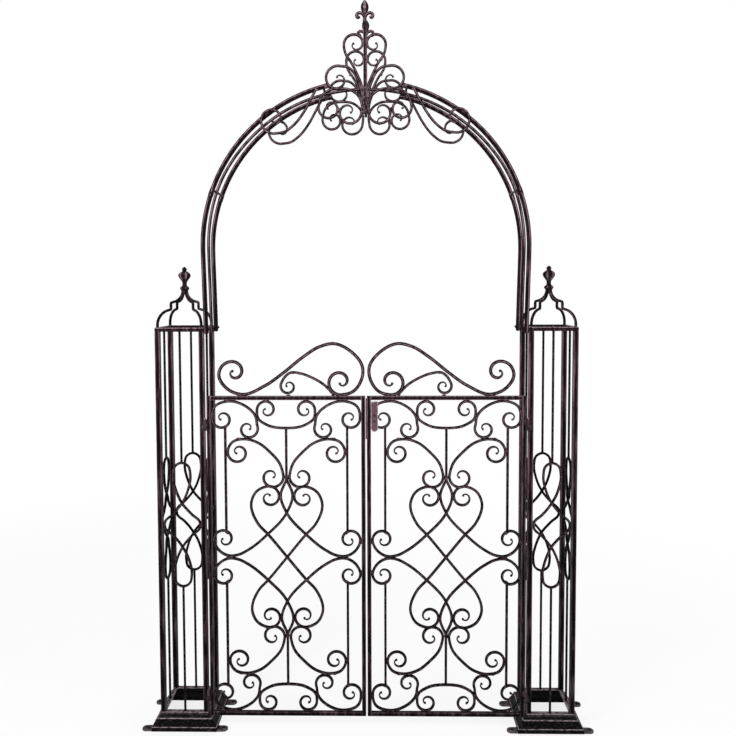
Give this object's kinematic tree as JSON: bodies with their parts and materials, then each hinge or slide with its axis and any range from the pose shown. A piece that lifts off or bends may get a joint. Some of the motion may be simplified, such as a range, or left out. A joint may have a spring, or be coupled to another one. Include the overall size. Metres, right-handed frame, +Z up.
{
  "type": "garden gate with rose arch",
  "caption": "Wrought garden gate: two square trellis columns, a round arch with a scrolled crest between them, and a pair of scrolled leaves that swing outward.",
  "frame": {"origin": "underside of the left column's foot, in the middle of the rim that faces the path, at ground level", "axes": "+X from the left column to the right one seen from the front, +Y towards the back, +Z up"},
  "size_m": [1.802, 0.224, 2.859],
  "materials": {
    "tube_frame": "dark brown paint with a worn, lighter mauve-grey on the edges",
    "scroll_bars": "dark brown paint on round bars, lighter where rubbed",
    "foot_sheet": "near-black paint on folded sheet",
    "castings": "dark brown paint on cast iron",
    "fittings": "dark brown paint, worn on hinges and lock plate"
  },
  "bodies": {
    "frame": {"left_foot": "foot_sheet", "left_posts": "tube_frame", "left_ring": "tube_frame", "left_panel_front": "scroll_bars", "left_panel_rear": "scroll_bars", "left_panel_outer": "scroll_bars", "left_panel_path": "scroll_bars", "left_cap": "scroll_bars", "left_finial": "castings", "left_hinge_pins": "fittings", "right_foot": "foot_sheet", "right_posts": "tube_frame", "right_ring": "tube_frame", "right_panel_front": "scroll_bars", "right_panel_rear": "scroll_bars", "right_panel_outer": "scroll_bars", "right_panel_path": "scroll_bars", "right_cap": "scroll_bars", "right_finial": "castings", "right_hinge_pins": "fittings", "arch_front_left": "tube_frame", "arch_front_right": "tube_frame", "arch_rear_left": "tube_frame", "arch_rear_right": "tube_frame", "arch_middle_left": "scroll_bars", "arch_middle_right": "scroll_bars", "arch_rungs": "scroll_bars", "crest_front": "scroll_bars", "crest_rear": "scroll_bars", "spear_front": "castings", "spear_rear": "castings", "side_scrolls_front": "scroll_bars", "side_scrolls_rear": "scroll_bars"},
    "left_leaf": {"left_leaf_hinge_stile": "tube_frame", "left_leaf_meeting_stile": "tube_frame", "left_leaf_top_rail": "tube_frame", "left_leaf_bottom_rail": "tube_frame", "left_leaf_scrolls": "scroll_bars", "left_leaf_crest": "scroll_bars"},
    "right_leaf": {"right_leaf_hinge_stile": "tube_frame", "right_leaf_meeting_stile": "tube_frame", "right_leaf_top_rail": "tube_frame", "right_leaf_bottom_rail": "tube_frame", "right_leaf_scrolls": "scroll_bars", "right_leaf_crest": "scroll_bars", "right_leaf_lock_plate": "fittings"}
  },
  "joints": [
    {"name": "left_leaf_swing", "type": "hinge", "parent": "frame", "child": "left_leaf", "pos_m": [-0.0205, -0.105, 0.145], "axis": [0, 0, -1], "range_deg": [0, 170]},
    {"name": "right_leaf_swing", "type": "hinge", "parent": "frame", "child": "right_leaf", "pos_m": [1.2385, -0.105, 0.145], "axis": [0, 0, 1], "range_deg": [0, 170]}
  ]
}
